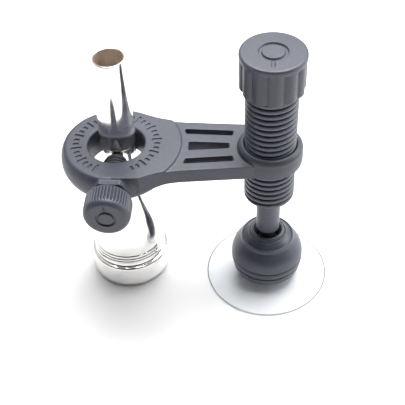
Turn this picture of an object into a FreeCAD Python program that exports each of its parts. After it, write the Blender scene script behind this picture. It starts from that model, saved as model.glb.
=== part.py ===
import FreeCAD, Part
import math
import os

V = FreeCAD.Vector
os.makedirs("parts", exist_ok=True)

# ---------------------------------------------------------------- driving dimensions (mm)
# working frame: z = 0 is the surface the object stands on, the ring axis is x = y = 0,
# the barrel axis is at x = D, the thumb screw points along -Y
D = 47.3                # ring axis to barrel axis
Z_TOP = 57.3            # top face of the ring
Z_WEB_TOP = 56.8        # top face of the web, a shallow step below the lands
Z_WEB_BOT = 51.9        # underside of the web and of the boss
Z_RING_BOT = 47.6       # underside of the ring
R_RING = 17.4           # widest radius of the ring
R_HOLE = 8.8            # mouthpiece hole
R_LAND = 20.1           # edge of the ring's land on the web
R_BOSS = 10.0           # barrel boss
Z_BOSS = 59.2           # top of the barrel boss, a raised collar
R_BOSS_HOLE = 8.05      # clearance bore that stands for the female thread
W1, W2 = 10.9, 10.05    # half width of the web at X1 and at X2
X1, X2 = 25.8, 38.8

R_THREAD = 7.95         # barrel thread crest (M16)
R_ROOT = 7.0            # barrel thread root
PITCH = 2.0             # barrel thread pitch
Z_BARREL = 37.4         # lower end of the barrel
Z_KNOB = 79.9           # lower end of the top knob
Z_KNOB_TOP = 92.4       # top of the knob
R_KNOB = 9.8            # top knob
R_BORE = 5.4            # barrel bore
Z_BORE_TOP = 80.3       # blind end of the barrel bore

R_ROD = 3.85            # plunger rod
Z_ROD_BOT = 22.3        # shoulder where the rod meets the ball stud
Z_HEAD = 42.1           # underside of the plunger head
R_BALL = 5.0            # ball of the swivel
Z_BALL = 12.5           # ball centre
R_DOME = 11.9           # swivel housing
Z_BASE = 4.3            # underside of the swivel housing
R_DISC = 20.45          # clear chin disc

MX, MY = 0.0, 2.9       # mouthpiece axis, off centre because it is pressed to the far wall
L_MOUTH = 87.3          # mouthpiece length
R_NECK = 4.9            # mouthpiece neck, where it is clamped

Z_CLAMP = 52.25         # height of the thumb screw's axis
R_CLAMP = 3.95          # thumb screw thread crest (M8)
CLAMP_PITCH = 1.25
S_TIP = 2.1             # front of the screw's pad, measured from the ring axis
S_KNOB = 20.2           # back of the thumb knob
S_FACE = 27.9           # face of the thumb knob
R_CKNOB = 7.1

# the datum is the centre of the object's footprint box
OX = ((D + R_DISC) - R_RING) / 2.0
OY = (R_DISC - S_FACE) / 2.0


# ---------------------------------------------------------------- helpers
def wire(pts):
    """closed wire of (kind, ...) steps in the r-z half plane: first point, then
    ("L", r, z) line, ("A", r1, z1, r2, z2) arc through, ("S", [(r, z), ...]) spline"""
    p0 = V(pts[0][0], 0, pts[0][1])
    cur = p0
    edges = []
    for st in pts[1:]:
        if st[0] == "L":
            q = V(st[1], 0, st[2])
            if (q - cur).Length > 1e-7:
                edges.append(Part.LineSegment(cur, q).toShape())
        elif st[0] == "A":
            q = V(st[3], 0, st[4])
            edges.append(Part.Arc(cur, V(st[1], 0, st[2]), q).toShape())
        else:
            c = Part.BSplineCurve()
            ps = [cur] + [V(a, 0, b) for a, b in st[1]]
            c.interpolate(ps)
            q = ps[-1]
            edges.append(c.toShape())
        cur = q
    if (cur - p0).Length > 1e-7:
        edges.append(Part.LineSegment(cur, p0).toShape())
    return Part.Wire(edges)


def rev(pts, x=0.0, y=0.0):
    f = Part.Face(wire(pts))
    s = f.revolve(V(0, 0, 0), V(0, 0, 1), 360)
    s = Part.Solid(s) if s.ShapeType != "Solid" else s
    if s.Volume < 0:
        s.reverse()
    s.translate(V(x, y, 0))
    return s


def along_y(s, z=Z_CLAMP):
    """a solid turned about +Z, laid down so that its +Z points along -Y"""
    s = s.copy()
    s.rotate(V(0, 0, 0), V(1, 0, 0), 90)
    s.translate(V(0, 0, z))
    return s


def cyl(r, z0, z1, x=0.0, y=0.0):
    return Part.makeCylinder(r, z1 - z0, V(x, y, z0))


def tube(ro, ri, z0, z1, x=0.0, y=0.0):
    return cyl(ro, z0, z1, x, y).cut(cyl(ri, z0 - 1, z1 + 1, x, y))


def box(x0, x1, y0, y1, z0, z1):
    return Part.makeBox(x1 - x0, y1 - y0, z1 - z0, V(x0, y0, z0))


def prism(pts, z0, z1):
    w = Part.makePolygon([V(a, b, z0) for a, b in pts] + [V(pts[0][0], pts[0][1], z0)])
    return Part.Face(w).extrude(V(0, 0, z1 - z0))


def rounded_prism(pts, r, z0, z1):
    """prism with its vertical edges rounded"""
    s = prism(pts, z0, z1)
    es = [e for e in s.Edges if abs(e.Vertexes[0].Z - e.Vertexes[-1].Z) > 1e-6]
    try:
        return s.makeFillet(r, es)
    except Exception:
        return s


OUT = {}


def save(name, shape):
    s = shape.copy()
    if s.ShapeType != "Solid" and len(s.Solids) == 1:
        s = s.Solids[0]
    s.translate(V(-OX, -OY, 0))
    assert s.isValid(), name
    OUT[name] = s
    s.exportStep("parts/%s.step" % name)
    b = s.BoundBox
    print("%-14s solids %d vol %9.2f  x %7.2f %7.2f  y %7.2f %7.2f  z %7.2f %7.2f" % (
        name, len(s.Solids), s.Volume, b.XMin, b.XMax, b.YMin, b.YMax, b.ZMin, b.ZMax))


# ---------------------------------------------------------------- arm body
def web_y(x):
    return W1 + (x - X1) * (W2 - W1) / (X2 - X1)


# the outline: a circle round the ring, concave blends, straight edges, the boss circle
R_OUT = 16.9            # outline radius that the blends start from
R_BLEND = 34.0
SKEW = 2.5              # the web runs slightly across the line of the two axes, degrees
sl = math.atan2(W2 - W1, X2 - X1)
# centre of the blend: R_OUT + R_BLEND from the ring axis and R_BLEND above the web edge
lo, hi = 5.0, 30.0
for _ in range(60):
    mid = (lo + hi) / 2
    yb = web_y(mid) + R_BLEND / math.cos(sl)
    if math.hypot(mid, yb) < R_OUT + R_BLEND:
        lo = mid
    else:
        hi = mid
BX = lo
BY = web_y(BX) + R_BLEND / math.cos(sl)
t1 = (BX * R_OUT / (R_OUT + R_BLEND), BY * R_OUT / (R_OUT + R_BLEND))
t2 = (BX + R_BLEND * math.sin(sl), BY - R_BLEND * math.cos(sl))
am = math.atan2((t1[1] - BY) / R_BLEND + (t2[1] - BY) / R_BLEND, (t1[0] - BX) / R_BLEND + (t2[0] - BX) / R_BLEND)
tm = (BX + R_BLEND * math.cos(am), BY + R_BLEND * math.sin(am))


def web_outline(z0, z1):
    x_end = D - 1.0
    e = []
    a = V(0, t1[1], z0)
    e.append(Part.LineSegment(V(0, -t1[1], z0), V(0, t1[1], z0)).toShape())
    e.append(Part.LineSegment(V(0, t1[1], z0), V(t1[0], t1[1], z0)).toShape())
    e.append(Part.Arc(V(t1[0], t1[1], z0), V(tm[0], tm[1], z0), V(t2[0], t2[1], z0)).toShape())
    e.append(Part.LineSegment(V(t2[0], t2[1], z0), V(x_end, web_y(x_end), z0)).toShape())
    e.append(Part.LineSegment(V(x_end, web_y(x_end), z0), V(x_end, -web_y(x_end), z0)).toShape())
    e.append(Part.LineSegment(V(x_end, -web_y(x_end), z0), V(t2[0], -t2[1], z0)).toShape())
    e.append(Part.Arc(V(t2[0], -t2[1], z0), V(tm[0], -tm[1], z0), V(t1[0], -t1[1], z0)).toShape())
    e.append(Part.LineSegment(V(t1[0], -t1[1], z0), V(0, -t1[1], z0)).toShape())
    s = Part.Face(Part.Wire(e)).extrude(V(0, 0, z1 - z0))
    s.rotate(V(23.0, 0, 0), V(0, 0, 1), SKEW)
    return s


ring = rev([(4.0, Z_RING_BOT), ("L", 13.6, Z_RING_BOT), ("A", 15.9, 48.25, 16.9, 49.9),
            ("A", 17.38, 51.6, R_RING, 53.2), ("A", 17.2, 54.9, 16.75, 56.1),
            ("A", 16.2, 56.95, 15.4, Z_TOP), ("L", 4.0, Z_TOP)])
web = web_outline(Z_WEB_BOT, Z_WEB_TOP)
# the land round the ring keeps the ring's height out to R_LAND, with a softened edge
land = rev([(0.0, 55.0), ("L", R_LAND + 0.15, 55.0), ("L", R_LAND + 0.15, Z_WEB_TOP),
            ("L", R_LAND - 0.1, Z_TOP - 0.12), ("L", R_LAND - 0.3, Z_TOP), ("L", 0.0, Z_TOP)])
land = land.common(web_outline(55.0, Z_TOP + 1))
boss = rev([(0.0, Z_WEB_BOT), ("L", 8.9, Z_WEB_BOT), ("A", 9.7, 52.2, R_BOSS, 53.0),
            ("A", 10.12, 55.0, R_BOSS, 57.0), ("A", 9.66, 58.45, 8.7, Z_BOSS), ("L", 0.0, Z_BOSS)], D, 0)
# gusset: the ring's underside runs out into the web
gus = rev([(10.0, 48.2), ("L", 15.6, 48.4), ("A", 18.2, 51.1, 22.6, Z_WEB_BOT + 0.02),
           ("L", 22.6, 54.0), ("L", 10.0, 54.0)])
gus = gus.common(web_outline(47.0, 54.0))
# boss round the thumb screw
cboss = along_y(rev([(0.0, 10.0), ("L", 5.6, 10.0), ("L", 5.6, 17.6), ("A", 5.5, 17.9, 5.2, 18.0), ("L", 0.0, 18.0)]))
cboss = cboss.common(box(-8, 8, -19, -9, Z_RING_BOT, Z_TOP - 0.45))
arm = ring.fuse([web, land, boss, gus, cboss]).removeSplitter()
# mouthpiece hole with small chamfers
arm = arm.cut(rev([(0.0, 40.0), ("L", R_HOLE + 0.5, 40.0), ("L", R_HOLE + 0.5, Z_RING_BOT), ("L", R_HOLE, Z_RING_BOT + 0.5),
                   ("L", R_HOLE, Z_TOP - 0.35), ("L", R_HOLE + 0.35, Z_TOP), ("L", R_HOLE + 0.35, 60.0), ("L", 0.0, 60.0)]))
# barrel bore with the lead-in at both faces
arm = arm.cut(rev([(0.0, 45.0), ("L", 8.6, 45.0), ("L", 8.6, Z_WEB_BOT), ("L", R_BOSS_HOLE, Z_WEB_BOT + 0.5),
                   ("L", R_BOSS_HOLE, Z_BOSS - 0.35), ("L", R_BOSS_HOLE + 0.35, Z_BOSS), ("L", R_BOSS_HOLE + 0.35, 60.0),
                   ("L", 0.0, 60.0)], D, 0))
# thumb screw hole
arm = arm.cut(along_y(cyl(R_CLAMP + 0.08, 5.0, 25.0)))
# three slots in the web
SLOTS = [
    [(20.85, 7.90), (36.10, 6.85), (35.70, 4.75), (21.40, 5.80)],
    [(22.30, 1.86), (34.70, 1.12), (34.70, -1.12), (22.30, -1.86)],
    [(20.85, -7.90), (21.40, -5.80), (35.70, -4.75), (36.10, -6.85)],
]
for s in SLOTS:
    c = rounded_prism(s, 0.35, 50.0, 60.0)
    c.rotate(V(23.0, 0, 0), V(0, 0, 1), SKEW)
    arm = arm.cut(c)
# index marks round the ring: long and short radial dashes, 0.5 deep
for k, a in enumerate(list(range(112, 250, 9)) + list(range(-62, 74, 9))):
    r0, r1 = (10.9, 14.0) if k % 3 == 0 else (11.7, 13.4)
    m = box(r0, r1, -0.42, 0.42, Z_TOP - 0.5, Z_TOP + 1)
    m.rotate(V(0, 0, 0), V(0, 0, 1), a)
    arm = arm.cut(m)
save("arm_body", arm)

# liner on the far wall of the hole that the mouthpiece neck is pressed against
pad = cyl(R_HOLE, 48.3, 54.9).common(box(-4.6, 4.6, 4.2, 12.0, 48.0, 55.0)).cut(cyl(R_NECK + 0.1, 40, 60, MX, MY))
save("seat_pad", pad)

# ---------------------------------------------------------------- mouthpiece
mouth = rev([
    (9.6, 0.12), ("L", 10.2, 0.0), ("L", 11.0, 0.0), ("A", 12.45, 0.65, 13.0, 2.2),
    ("L", 13.05, 8.5), ("A", 12.9, 9.15, 12.35, 9.4), ("L", 12.0, 9.45),
    ("S", [(11.65, 10.1), (11.55, 11.0), (11.65, 11.9)]),
    ("A", 12.05, 12.4, 11.6, 12.95), ("L", 11.6, 13.15), ("A", 11.95, 13.6, 11.45, 14.1), ("L", 11.4, 14.5),
    ("S", [(11.42, 15.5), (11.15, 18.5), (10.45, 22.0), (9.3, 26.0), (7.9, 30.0), (6.6, 34.0), (5.6, 38.0), (5.05, 42.0), (R_NECK, 46.0)]),
    ("L", R_NECK, 54.9), ("A", 5.15, 55.35, 5.7, 55.7), ("L", 5.72, 56.1),
    ("L", 4.92, 87.0), ("L", 4.75, L_MOUTH), ("L", 4.42, L_MOUTH),
    ("S", [(3.9, 75.0), (3.2, 58.0), (2.45, 38.0), (1.9, 24.0), (1.84, 20.0)]),
    ("L", 1.84, 13.2), ("S", [(2.2, 12.1), (3.6, 10.6), (5.7, 8.2), (7.3, 4.9), (8.05, 2.2), (8.45, 0.9)]),
    ("A", 8.9, 0.35, 9.6, 0.12),
], MX, MY)
save("mouthpiece", mouth)


# ---------------------------------------------------------------- thumb screw
def grooves(r, root, z0, z1, pitch, crest):
    """outer profile of a thread as parallel grooves, from z0 up to z1"""
    pts = []
    z = z0
    while z + pitch <= z1 + 1e-6:
        pts += [("L", r, z), ("L", r, z + crest)]
        g = (pitch - crest)
        pts += [("L", root, z + crest + g * 0.38), ("L", root, z + crest + g * 0.62)]
        z += pitch
    pts += [("L", r, z), ("L", r, z1)]
    return pts


tip = rev([(0.0, S_TIP), ("L", 1.3, S_TIP), ("A", 1.75, S_TIP + 0.15, 1.9, S_TIP + 0.6), ("L", 1.9, 5.1), ("L", 0.0, 5.1)])
save("clamp_tip", along_y(tip))

screw = [(1.97, 2.75), ("L", 2.75, 2.75), ("L", 3.05, 3.1)]
# the first turns taper towards the tip
for k in range(3):
    s0 = 3.1 + k * CLAMP_PITCH
    rr = (3.35, 3.75, 3.82)[k]
    screw += [("L", rr, s0 + 0.05), ("L", rr + 0.12, s0 + 0.55), ("L", rr - 0.45, s0 + 0.9), ("L", rr - 0.4, s0 + 1.05)]
screw += grooves(R_CLAMP, 3.3, 3.1 + 3 * CLAMP_PITCH, 18.6, CLAMP_PITCH, 0.5)
screw += [("L", 3.2, 18.9), ("L", 3.2, 21.5), ("L", 0.0, 21.5), ("L", 0.0, 5.2), ("L", 1.97, 5.2)]
screw = rev(screw)
hexa = prism([(5.6 * math.cos(math.radians(a)), 5.6 * math.sin(math.radians(a))) for a in range(0, 360, 60)], 21.5, 25.0)
save("clamp_screw", along_y(screw.fuse(hexa).removeSplitter()))

ck = rev([(0.0, 19.0), ("L", 4.9, 19.0), ("L", 5.2, 19.3), ("L", 5.2, S_KNOB), ("L", 6.4, S_KNOB), ("A", 6.85, S_KNOB + 0.2, R_CKNOB, S_KNOB + 0.6),
          ("L", R_CKNOB, 25.9), ("A", 6.75, 27.15, 5.7, S_FACE - 0.1), ("L", 5.3, S_FACE), ("L", 0.0, S_FACE)])
N_KNURL = 44
cuts = []
for k in range(N_KNURL):
    a = math.radians(k * 360.0 / N_KNURL)
    c = Part.makeCylinder(0.32, 5.2, V((R_CKNOB + 0.12) * math.cos(a), (R_CKNOB + 0.12) * math.sin(a), S_KNOB - 0.4))
    cuts.append(c)
ck = ck.cut(Part.makeCompound(cuts))
ck = ck.cut(cyl(3.2, 18.0, 21.5)).cut(hexa)
# recessed ring and pointer in the face
ck = ck.cut(tube(3.0, 2.2, S_FACE - 0.5, S_FACE + 1)).cut(box(-0.42, 0.42, 2.9, 4.9, S_FACE - 0.5, S_FACE + 1))
save("clamp_knob", along_y(ck))

# ---------------------------------------------------------------- barrel
prof = [(R_BORE, Z_BARREL), ("L", 6.7, Z_BARREL), ("L", 7.3, Z_BARREL + 0.35)]
prof += grooves(R_THREAD, R_ROOT, Z_BARREL + 0.9, Z_KNOB, PITCH, 0.95)
prof += [("L", 6.4, Z_KNOB), ("L", 6.4, 88.0), ("L", 1.6, 88.0), ("L", 1.6, Z_BORE_TOP), ("L", R_BORE, Z_BORE_TOP),
         ("L", R_BORE, 39.1), ("L", 5.75, 39.1), ("L", 5.75, 38.2), ("L", R_BORE, 38.2)]
save("barrel", rev(prof, D, 0))

# fluted top knob: twelve lobes under a smooth round cap
lobes = cyl(8.7, Z_KNOB + 0.2, 90.9)
RC, RL = 6.6, 3.1
parts12 = []
for k in range(12):
    a = math.radians(5.7 + 30 * k)
    c = Part.makeCylinder(RL, 90.9 - Z_KNOB, V(RC * math.cos(a), RC * math.sin(a), Z_KNOB))
    parts12.append(c)
lobes = lobes.fuse(parts12)
# lower rim of the lobes softened by a cone
lobes = lobes.common(rev([(0.0, Z_KNOB), ("L", 9.3, Z_KNOB), ("L", 9.8, Z_KNOB + 0.5), ("L", 9.8, 92.0), ("L", 0.0, 92.0)]))
top = rev([(0.0, 90.2), ("L", 9.1, 90.2), ("A", 9.55, 90.45, R_KNOB - 0.03, 90.9), ("L", R_KNOB, 91.75),
           ("A", 9.62, 92.22, 9.15, Z_KNOB_TOP), ("L", 0.0, Z_KNOB_TOP)])
knob = lobes.fuse(top).removeSplitter()
knob = knob.cut(cyl(6.4, Z_KNOB - 1, 88.0)).cut(cyl(1.6, 87.0, 90.2))
knob = knob.cut(tube(4.3, 3.3, Z_KNOB_TOP - 0.6, Z_KNOB_TOP + 1)).cut(box(-0.5, 0.5, -7.2, -4.2, Z_KNOB_TOP - 0.6, Z_KNOB_TOP + 1))
knob.translate(V(D, 0, 0))
save("barrel_knob", knob)

ks = rev([(0.0, 78.5), ("L", 2.3, 78.5), ("A", 2.75, 78.7, 2.9, 79.2), ("L", 2.9, Z_BORE_TOP), ("L", 1.6, Z_BORE_TOP), ("L", 1.6, 89.6),
          ("L", 1.1, 90.1), ("L", 0.0, 90.1)])
ks = ks.cut(box(-2.4, 2.4, -0.35, 0.35, 78.0, 79.3)).cut(box(-0.35, 0.35, -2.4, 2.4, 78.0, 79.3))
ks.translate(V(D, 0, 0))
save("knob_screw", ks)

save("barrel_bush", rev([(R_ROD + 0.08, 39.1), ("L", R_BORE, 39.1), ("L", R_BORE, 42.0), ("L", R_ROD + 0.38, 42.0), ("L", R_ROD + 0.08, 41.7)], D, 0))
br = tube(5.75, 4.5, 38.2, 39.1).cut(box(-1.0, 1.0, -7, 0, 38, 40))
br.translate(V(D, 0, 0))
save("bush_ring", br)

# ---------------------------------------------------------------- spring and its seat
save("spring_seat", tube(5.25, 3.1, 79.0, 80.2, D, 0))

R_SPR, R_WIRE = 4.35, 0.45
Z_S0, Z_S1 = 46.15 + R_WIRE, 79.0 - R_WIRE
TURNS = 10
helix = Part.makeHelix((Z_S1 - Z_S0) / TURNS, Z_S1 - Z_S0, R_SPR)
circ = Part.Wire([Part.Circle(V(R_SPR, 0, 0), V(0, 1, 0), R_WIRE).toShape()])
spr = Part.Wire(helix.Edges).makePipeShell([circ], True, True)
spr = Part.Solid(spr) if spr.ShapeType != "Solid" else spr
spr.translate(V(D, 0, Z_S0))
print("spring volume ratio", spr.Volume / (math.pi * R_WIRE ** 2 * math.hypot(TURNS * 2 * math.pi * R_SPR, Z_S1 - Z_S0)))
save("plunger_spring", spr)

# ---------------------------------------------------------------- plunger
save("plunger_head", rev([(2.6, Z_HEAD), ("L", 5.0, Z_HEAD), ("L", 5.3, Z_HEAD + 0.3), ("L", 5.3, 46.1), ("L", 3.6, 46.1), ("L", 3.6, 47.7), ("L", 3.3, 48.0),
                          ("L", 2.5, 48.0), ("L", 2.5, 46.6), ("L", 1.5, 46.6), ("L", 1.5, 45.5), ("L", 2.6, 45.5)], D, 0))
hs = rev([(0.0, 38.2), ("L", 1.0, 38.2), ("L", 1.4, 38.7), ("L", 1.4, 46.6), ("L", 2.4, 46.6), ("L", 2.4, 47.6), ("A", 1.8, 48.05, 0.9, 48.2), ("L", 0.0, 48.2)])
hs = hs.cut(box(-1.7, 1.7, -0.25, 0.25, 47.5, 49.0)).cut(box(-0.25, 0.25, -1.7, 1.7, 47.5, 49.0))
hs.translate(V(D, 0, 0))
save("head_screw", hs)
save("plunger_rod", rev([(2.0, Z_ROD_BOT), ("L", R_ROD - 0.25, Z_ROD_BOT), ("L", R_ROD, Z_ROD_BOT + 0.25), ("L", R_ROD, Z_HEAD), ("L", 2.6, Z_HEAD), ("L", 2.6, 45.4),
                         ("L", 1.4, 45.4), ("L", 1.4, 38.0), ("L", 0.0, 38.0), ("L", 0.0, 30.2), ("L", 2.0, 30.2)], D, 0))

# ---------------------------------------------------------------- swivel
R_NK = 2.6
zb = Z_BALL + math.sqrt(R_BALL ** 2 - R_NK ** 2)
save("ball_stud", rev([(0.0, Z_BALL - R_BALL), ("A", R_BALL, Z_BALL, R_NK, zb), ("L", R_NK, Z_ROD_BOT), ("L", 2.0, Z_ROD_BOT), ("L", 2.0, 29.6), ("L", 1.6, 30.0),
                       ("L", 0.0, 30.0)], D, 0))


def sph(r, deg):
    """point on a sphere round the ball centre, deg from +Z"""
    return (r * math.sin(math.radians(deg)), Z_BALL + r * math.cos(math.radians(deg)))


a0, a1 = 102.0, 167.0
p = [sph(5.08, a0), sph(5.08, (a0 + a1) / 2), sph(5.08, a1), sph(5.8, a1), sph(5.8, (a0 + a1) / 2), sph(5.8, a0)]
save("ball_seat", rev([p[0], ("A", p[1][0], p[1][1], p[2][0], p[2][1]), ("L", p[3][0], p[3][1]), ("A", p[4][0], p[4][1], p[5][0], p[5][1])], D, 0))

RR, ZR = sph(5.78, 62.0)
fr = Part.makeTorus(RR, 0.7, V(D, 0, ZR))
save("friction_ring", fr)

# housing cap: stepped rings round the mouth
zc_open = Z_BALL + math.sqrt(5.3 ** 2 - 3.9 ** 2)
cap = rev([
    (9.0, 10.45), ("L", 11.6, 10.45), ("A", 11.82, 10.55, 11.85, 10.8),
    ("S", [(11.75, 11.9), (11.3, 13.55), (10.45, 15.2), (9.35, 16.75)]),
    ("S", [(8.9, 17.45), (8.62, 18.25)]), ("A", 8.45, 18.5, 8.2, 18.35),
    ("L", 8.0, 18.1), ("S", [(7.2, 18.95), (6.35, 19.65)]),
    ("A", 6.1, 20.05, 5.85, 19.85), ("L", 5.75, 19.75), ("S", [(5.55, 20.35), (5.2, 20.85)]),
    ("A", 4.9, 21.1, 4.65, 20.95), ("L", 3.9, zc_open),
    ("A", 5.3 * math.sin(math.radians(58)), Z_BALL + 5.3 * math.cos(math.radians(58)), math.sqrt(5.3 ** 2 - 1.9 ** 2), 14.4),
    ("L", 9.0, 14.4)], D, 0)
cap = cap.cut(Part.makeTorus(RR, 0.78, V(D, 0, ZR)))
save("socket_cap", cap)

rt = math.sqrt(5.9 ** 2 - (14.2 - Z_BALL) ** 2)
base = rev([
    (0.0, Z_BASE), ("L", 10.5, Z_BASE), ("A", 10.95, 4.4, 11.1, 4.8), ("L", 11.55, 7.1), ("L", 11.3, 7.45), ("L", 11.3, 7.75),
    ("A", 11.9, 8.9, 11.55, 10.25), ("L", 9.0, 10.25), ("L", 9.0, 14.2), ("L", rt, 14.2),
    ("A", 5.9 * math.sin(math.radians(120)), Z_BALL + 5.9 * math.cos(math.radians(120)), 0.0, Z_BALL - 5.9)], D, 0)
base = base.cut(cyl(1.25, 4.0, 6.2, D, 0))
save("socket_base", base)

# clear disc: a shallow flexible cup, thick in the middle and thin at the rim
disc = rev([
    (1.25, 3.0), ("L", 6.0, 3.0), ("S", [(9.0, 3.15), (12.2, 2.75), (16.0, 1.35), (19.3, 0.1)]), ("L", 19.8, 0.0), ("L", 20.2, 0.0),
    ("A", 20.42, 0.12, R_DISC, 0.3), ("A", 20.35, 0.45, 20.15, 0.5),
    ("S", [(16.2, 2.35), (12.4, 3.75), (9.4, Z_BASE)]), ("L", 1.25, Z_BASE)], D, 0)
save("chin_disc", disc)
save("disc_washer", tube(4.2, 1.25, 2.5, 3.0, D, 0))
ds = rev([(0.0, 1.0), ("L", 2.0, 1.0), ("A", 2.55, 1.2, 2.75, 1.7), ("L", 2.75, 2.5), ("L", 1.25, 2.5), ("L", 1.25, 5.7), ("L", 0.8, 6.1), ("L", 0.0, 6.1)])
ds = ds.cut(box(-1.8, 1.8, -0.3, 0.3, 0.5, 1.9)).cut(box(-0.3, 0.3, -1.8, 1.8, 0.5, 1.9))
ds.translate(V(D, 0, 0))
save("disc_screw", ds)

bb = None
for s in OUT.values():
    b = s.BoundBox
    bb = b if bb is None else bb.united(b)
print("box x %.2f %.2f  y %.2f %.2f  z %.2f %.2f  datum %.3f %.3f" % (bb.XMin, bb.XMax, bb.YMin, bb.YMax, bb.ZMin, bb.ZMax, OX, OY))
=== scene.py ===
import bpy
import bmesh
import math
import numpy as np
from mathutils import Matrix, Vector


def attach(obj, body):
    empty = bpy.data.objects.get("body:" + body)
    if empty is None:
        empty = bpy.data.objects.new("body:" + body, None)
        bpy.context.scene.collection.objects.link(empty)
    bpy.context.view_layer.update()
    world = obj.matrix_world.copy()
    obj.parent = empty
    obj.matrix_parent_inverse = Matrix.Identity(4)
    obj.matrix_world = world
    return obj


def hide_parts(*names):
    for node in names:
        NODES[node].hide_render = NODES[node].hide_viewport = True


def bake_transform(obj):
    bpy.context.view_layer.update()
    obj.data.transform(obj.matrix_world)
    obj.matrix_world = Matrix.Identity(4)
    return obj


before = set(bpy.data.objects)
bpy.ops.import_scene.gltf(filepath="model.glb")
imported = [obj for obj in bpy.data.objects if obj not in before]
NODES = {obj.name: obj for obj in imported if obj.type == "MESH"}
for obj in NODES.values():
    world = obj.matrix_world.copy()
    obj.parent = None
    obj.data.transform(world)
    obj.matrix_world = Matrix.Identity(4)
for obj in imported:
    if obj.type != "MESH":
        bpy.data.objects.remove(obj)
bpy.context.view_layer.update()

# ------------------------------------------------------------------ lengths in millimetres, in the part's own working frame
DX, DY = 25.175, -3.725            # row frame = working frame - (DX, DY, 0)
D = 47.3                           # barrel axis
Z_TOP = 57.3
R_THREAD, R_ROOT, PITCH = 7.95, 6.75, 2.0
Z_BARREL, Z_KNOB, Z_KNOB_TOP = 37.4, 79.9, 92.4
R_BORE, Z_BORE_TOP = 5.4, 80.3
R_ROD, Z_ROD_BOT, Z_HEAD = 3.85, 22.3, 42.1
R_BALL, Z_BALL = 5.0, 12.5
Z_BASE = 4.3
R_DISC = 20.45
MX, MY, L_MOUTH, R_NECK = 0.0, 2.9, 87.3, 4.9
Z_CLAMP = 52.25
S_TIP, S_KNOB, S_FACE, R_CKNOB = 2.1, 20.2, 27.9, 7.1
TAU = 2.0 * math.pi


def row_frame(p):
    """working-frame millimetres to row-frame metres"""
    p = np.asarray(p, float)
    return (p - np.array([DX, DY, 0.0])) * 0.001


# ------------------------------------------------------------------ mesh helpers
def link(me, name):
    o = bpy.data.objects.new(name, me)
    bpy.context.scene.collection.objects.link(o)
    return o


def mesh_from(name, verts, faces, smooth=True):
    """verts in metres, row frame; the normals are turned outwards"""
    me = bpy.data.meshes.new(name)
    me.from_pydata([tuple(v) for v in verts], [], [tuple(int(i) for i in f) for f in faces])
    me.validate()
    bm = bmesh.new()
    bm.from_mesh(me)
    bmesh.ops.recalc_face_normals(bm, faces=bm.faces)
    if bm.calc_volume(signed=True) < 0:
        bmesh.ops.reverse_faces(bm, faces=bm.faces)
    bm.to_mesh(me)
    bm.free()
    me.polygons.foreach_set("use_smooth", [smooth] * len(me.polygons))
    me.update()
    return link(me, name)


def rounded(points, r=0.15, n=4):
    """closed profile of (r, z) or (r, z, radius) points, its corners rounded; a radius of 0 keeps the point as it is"""
    pts = [(p[0], p[1], (p[2] if len(p) > 2 else r)) for p in points]
    out = []
    m = len(pts)
    for i, (x, z, rad) in enumerate(pts):
        a = np.array(pts[i - 1][:2], float)
        b = np.array((x, z), float)
        c = np.array(pts[(i + 1) % m][:2], float)
        u, v = a - b, c - b
        lu, lv = np.linalg.norm(u), np.linalg.norm(v)
        if rad <= 0 or lu < 1e-9 or lv < 1e-9 or x < 1e-9:
            out.append((x, z))
            continue
        u, v = u / lu, v / lv
        cosang = float(np.clip(u @ v, -1, 1))
        ang = math.acos(cosang)
        if ang > math.radians(172):
            out.append((x, z))
            continue
        t = min(rad / math.tan(ang / 2), 0.45 * lu, 0.45 * lv)
        rr = t * math.tan(ang / 2)
        p0, p1 = b + u * t, b + v * t
        cen = b + (u + v) / np.linalg.norm(u + v) * (rr / math.sin(ang / 2))
        a0 = math.atan2(p0[1] - cen[1], p0[0] - cen[0])
        a1 = math.atan2(p1[1] - cen[1], p1[0] - cen[0])
        d = (a1 - a0 + math.pi) % TAU - math.pi
        for k in range(n + 1):
            a = a0 + d * k / n
            out.append((cen[0] + rr * math.cos(a), cen[1] + rr * math.sin(a)))
    return out


def spline(points, n=6):
    """points along a Catmull-Rom curve through the given ones, ends kept, each with radius 0"""
    p = [np.array(q, float) for q in points]
    p = [2 * p[0] - p[1]] + p + [2 * p[-1] - p[-2]]
    out = []
    for i in range(1, len(p) - 2):
        for k in range(n):
            t = k / n
            a, b, c, d = p[i - 1], p[i], p[i + 1], p[i + 2]
            q = 0.5 * ((2 * b) + (c - a) * t + (2 * a - 5 * b + 4 * c - d) * t * t + (3 * b - a - 3 * c + d) * t ** 3)
            out.append((float(q[0]), float(q[1]), 0.0))
    out.append((float(p[-2][0]), float(p[-2][1]), 0.0))
    return out


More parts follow.
